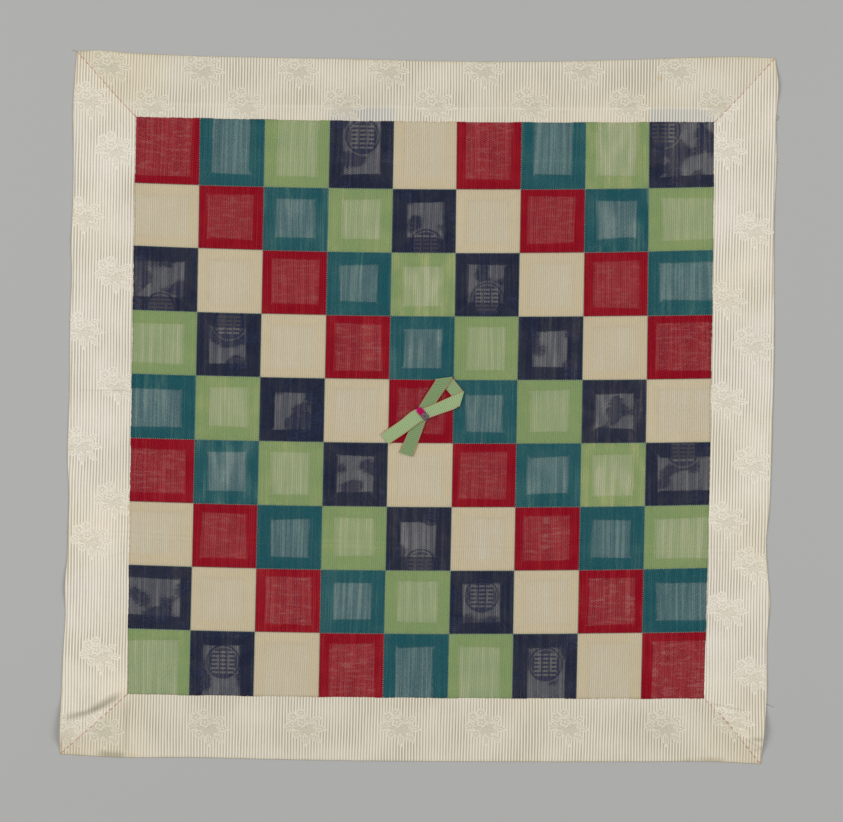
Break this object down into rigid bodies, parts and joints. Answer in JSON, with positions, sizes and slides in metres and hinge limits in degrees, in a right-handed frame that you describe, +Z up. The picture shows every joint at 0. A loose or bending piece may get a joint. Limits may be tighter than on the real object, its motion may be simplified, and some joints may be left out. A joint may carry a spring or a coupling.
{
  "type": "pojagi wrapping cloth",
  "caption": "Square silk patchwork wrapping cloth with a wide mitred border and a ribbon loop tacked to its middle, lying flat, face up.",
  "frame": {"origin": "on the surface that the cloth lies on, under the middle of its outline", "axes": "+Z up out of the face of the cloth, +Y towards its top edge, +X towards its right edge"},
  "size_m": [0.6275, 0.6282, 0.0064],
  "materials": {
    "patchwork_gauze": "sheer figured silk gauze, matt",
    "border_silk": "ivory damask-striped silk, soft sheen",
    "ribbon_silk": "ribbed green silk, soft sheen",
    "floss_magenta": "untwisted silk floss, glossy",
    "floss_mauve": "untwisted silk floss, glossy",
    "gauze_red": "sheer red silk gauze",
    "gauze_teal": "sheer blue-green silk gauze",
    "gauze_green": "sheer light green silk gauze",
    "gauze_navy": "sheer dark blue silk gauze",
    "gauze_ivory": "sheer undyed silk gauze",
    "sewing_silk": "fine silk sewing thread"
  },
  "bodies": {
    "root": {"patchwork_panel": "patchwork_gauze", "border_top": "border_silk", "border_bottom": "border_silk", "border_left": "border_silk", "border_right": "border_silk", "ribbon": "ribbon_silk", "tack_magenta": "floss_magenta", "tack_mauve": "floss_mauve"}
  },
  "joints": []
}
